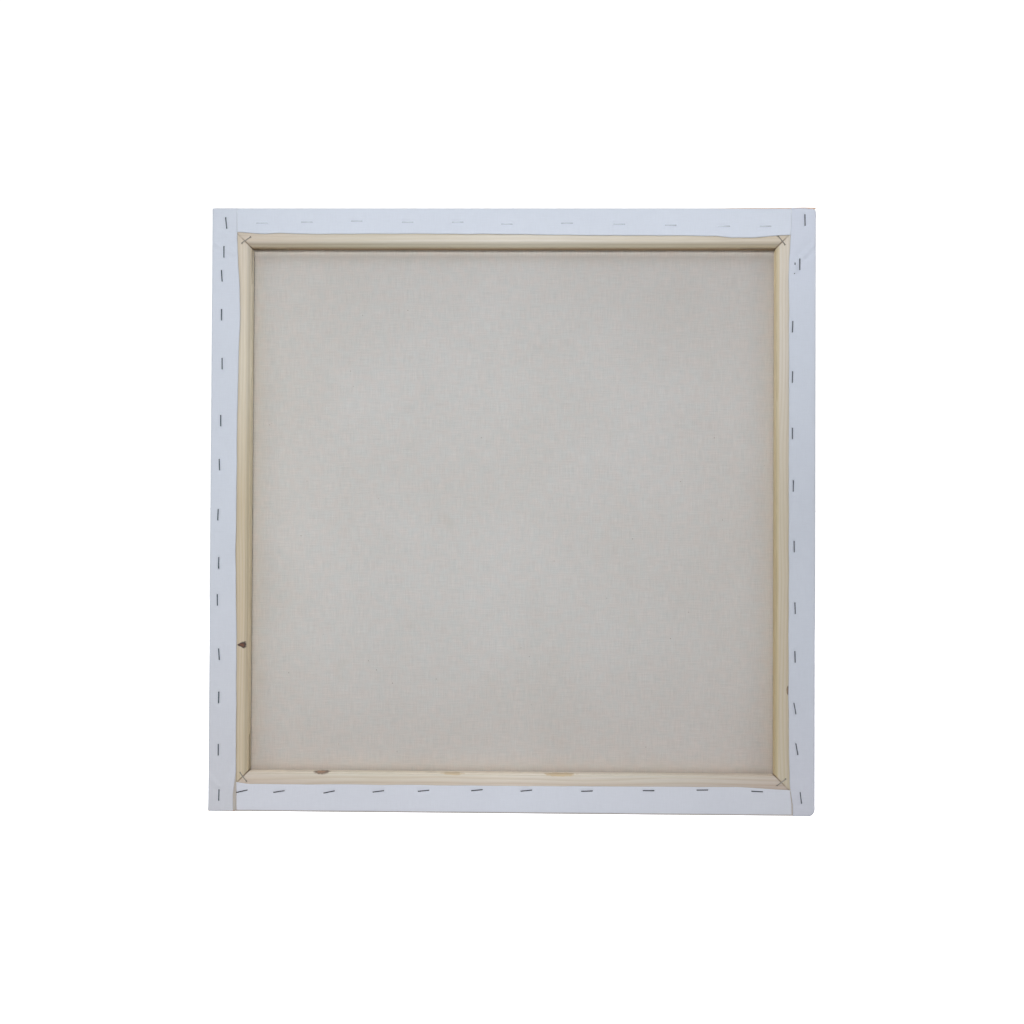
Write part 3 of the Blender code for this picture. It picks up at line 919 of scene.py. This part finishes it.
def make_cloth():
    net = ClothNet()
    fine_lines = lines(-HALF.x, HALF.x, GRID_STEPS, EDGE_ROUNDING)
    for side in BARS:
        build_wing(net, side, fine_lines)
    build_front(net, fine_lines)
    for first_edge, second_edge, lifts, kind in STRIPS:
        build_strip(net, first_edge, second_edge, lifts, kind)
    sharp = np.array(net.sharp)
    sheet = np.array(net.sheet)
    flat = np.array(net.flat)

    mesh = bpy.data.meshes.new("stretched_cloth")
    mesh.from_pydata([tuple(p) for p in rounded(sharp)], [], net.faces)
    mesh.update()
    backwards = Vector((0, 1, 0))
    inwards = [
        face.index for face in mesh.polygons
        if face.normal.dot(backwards if net.kinds[face.index] else face.center) < 0]
    for index in inwards:
        mesh.polygons[index].flip()
    mesh.update()
    normals = np.array([v.normal for v in mesh.vertices])
    mesh.vertices.foreach_set("co", lifted_places(sharp, sheet, normals).ravel())
    attribute = mesh.attributes.new("flat", "FLOAT_VECTOR", "POINT")
    attribute.data.foreach_set("vector", flat.ravel())
    # The brown threads' material paints a shadow along the bottom fold, as well as brown threads at
    # the top.
    for material in (
            primed_cotton(), raw_cotton(), raw_cotton("cut_threads_and_edge_highlight", (1.1, 1.1, 1.08)),
            raw_cotton("brown_threads_and_shadow", (0.95, 0.60, 0.38))):
        mesh.materials.append(material)
    mesh.polygons.foreach_set("material_index", net.kinds)
    mesh.shade_smooth()
    mesh.update()

    cloth = bpy.data.objects.new("stretched_cloth", mesh)
    bpy.context.scene.collection.objects.link(cloth)
    thickness = cloth.modifiers.new("thickness", "SOLIDIFY")
    thickness.thickness = CLOTH_THICKNESS
    thickness.offset = -1
    # The inner side and the cut edges are raw. The cut edges are a little paler: pale cut threads,
    # and a painted highlight along the edges.
    thickness.material_offset = 1
    thickness.material_offset_rim = 2
    return cloth


# ---------------------------------------------------------------- putting it together

add_camera()
add_world()
for light in LIGHTS:
    add_area_light(*light)

FLOOR_HALF = 4
floor_mesh = bpy.data.meshes.new("floor")
floor_corners = [(-FLOOR_HALF, -FLOOR_HALF, 0), (FLOOR_HALF, -FLOOR_HALF, 0),
                 (FLOOR_HALF, FLOOR_HALF, 0), (-FLOOR_HALF, FLOOR_HALF, 0)]
floor_mesh.from_pydata(floor_corners, [], [(0, 1, 2, 3)])
floor_mesh.materials.append(pale_floor())
floor = bpy.data.objects.new("floor", floor_mesh)
bpy.context.scene.collection.objects.link(floor)
floor.visible_diffuse = False

BAR_BEVEL, STAPLE_BEVEL = 0.3 * MM, 0.15 * MM

# What pine() takes for each bar. Tones run to the left along the top, down the left, to the right
# along the bottom and up the right, as seen from the back.
# The edge entries and the top bar's front entry paint light and shade on the bars' inner edges.
PINES = {
    "top": dict(
        pith=(-0.055, 0.33), contrast=0.4,
        tones=(
            (0.58, 0.515, 0.43), (0.65, 0.61, 0.53), (0.70, 0.67, 0.61), (0.62, 0.585, 0.505),
            (0.565, 0.49, 0.415)),
        edge_light_and_shade=(
            (6.6, 2.8, (0.54, 0.52, 0.46)), (2.6, 1.2, (1.38, 1.36, 1.32)),
            (1.1, 0.6, (1.25, 1.25, 1.25)), (0.25, 0.02, (0.90, 0.78, 0.63))),
        painted_front_shadow=(0.55, 0.46, 0.38)),
    "left": dict(
        pith=(0.060, 0.36), contrast=0.6,
        tones=(
            (0.605, 0.548, 0.475), (0.635, 0.585, 0.49), (0.535, 0.465, 0.345),
            (0.545, 0.465, 0.35), (0.54, 0.465, 0.345)),
        edge_light_and_shade=(
            (4.3, 3.3, (0.84, 0.84, 0.82)), (1.4, 0.6, (1.20, 1.18, 1.15)),
            (0.6, 0.1, (1.45, 1.50, 1.52))),
        knots=(
            dict(place=(0.2684, 0.009, 0.1654), radii=(4.6 * MM, 4 * MM, 4.8 * MM),
                 stain=(0.085, 0.018, 0.0), rim=0.2, strength=0.99, taper=0.15),)),
    "bottom": dict(
        pith=(-0.075, 0.22), contrast=0.6,
        tones=(
            (0.57, 0.50, 0.44), (0.605, 0.555, 0.475), (0.655, 0.595, 0.52),
            (0.555, 0.515, 0.46), (0.455, 0.385, 0.335)),
        edge_light_and_shade=(
            (6.5, 8.5, (0.94, 0.91, 0.91)), (3.2, 1.8, (1.03, 1.05, 1.06)),
            (0.9, 0.2, (1.42, 1.42, 1.42))),
        knots=(
            dict(place=(0.1887, 0.003, 0.0395), radii=(8 * MM, 8 * MM, 3 * MM),
                 stain=(0.42, 0.20, 0.10), rim=0.3, strength=0.8, taper=1.0),
            dict(place=(0.058, 0.005, 0.0385), radii=(11 * MM, 7 * MM, 1.8 * MM),
                 stain=(0.56, 0.41, 0.22), rim=1.0, strength=0.6, taper=0.4),
            dict(place=(-0.050, 0.005, 0.0385), radii=(16 * MM, 7 * MM, 1.8 * MM),
                 stain=(0.56, 0.41, 0.22), rim=1.0, strength=0.7, taper=1.0))),
    "right": dict(
        pith=(0.070, 0.20), contrast=0.6,
        tones=(
            (0.495, 0.445, 0.355), (0.485, 0.425, 0.33), (0.50, 0.455, 0.37),
            (0.595, 0.55, 0.485), (0.665, 0.625, 0.565)),
        edge_light_and_shade=((3.6, 2.4, (0.97, 0.92, 0.76)), (0.6, 0.1, (1.45, 1.42, 1.32))),
        knots=(
            dict(place=(-0.2742, 0.009, 0.1233), radii=(1.2 * MM, 3 * MM, 4.5 * MM),
                 stain=(0.20, 0.12, 0.07), rim=0.4, strength=0.8, taper=1.0),)),
}
for turn, side in enumerate(BARS):
    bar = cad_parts[f"stretcher_bar_{side}"]
    bar.data.materials.clear()
    bar.data.materials.append(pine(f"pine_{side}", turn, **PINES[side]))
    soften(bar, BAR_BEVEL)

# The tone and the dullness of each row of staples, as painted reflections: the top row pale, its
# round wires catching the light from above, the side and bottom rows dark, the corner ones in
# between.
STAPLE_ROW_REFLECTIONS = {
    "top": ((0.46, 0.49, 0.54), 0.2), "left": ((0.055, 0.07, 0.085), 0.0),
    "right": ((0.075, 0.08, 0.095), 0.0), "bottom": ((0.06, 0.062, 0.072), 0.0),
    "corner": ((0.24, 0.225, 0.20), 0.0)}
staple_row_reflection_steels = {row: staple_steel(f"staple_steel_{row}", *looks) for row, looks in STAPLE_ROW_REFLECTIONS.items()}
for name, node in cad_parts.items():
    if "staple" in name:
        row = "corner" if name.startswith("corner") else name.split("_")[2]
        node.data.materials.clear()
        node.data.materials.append(staple_row_reflection_steels[row])
        soften(node, STAPLE_BEVEL)

cloth = make_cloth()
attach(cloth, "root")
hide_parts("canvas_cloth")
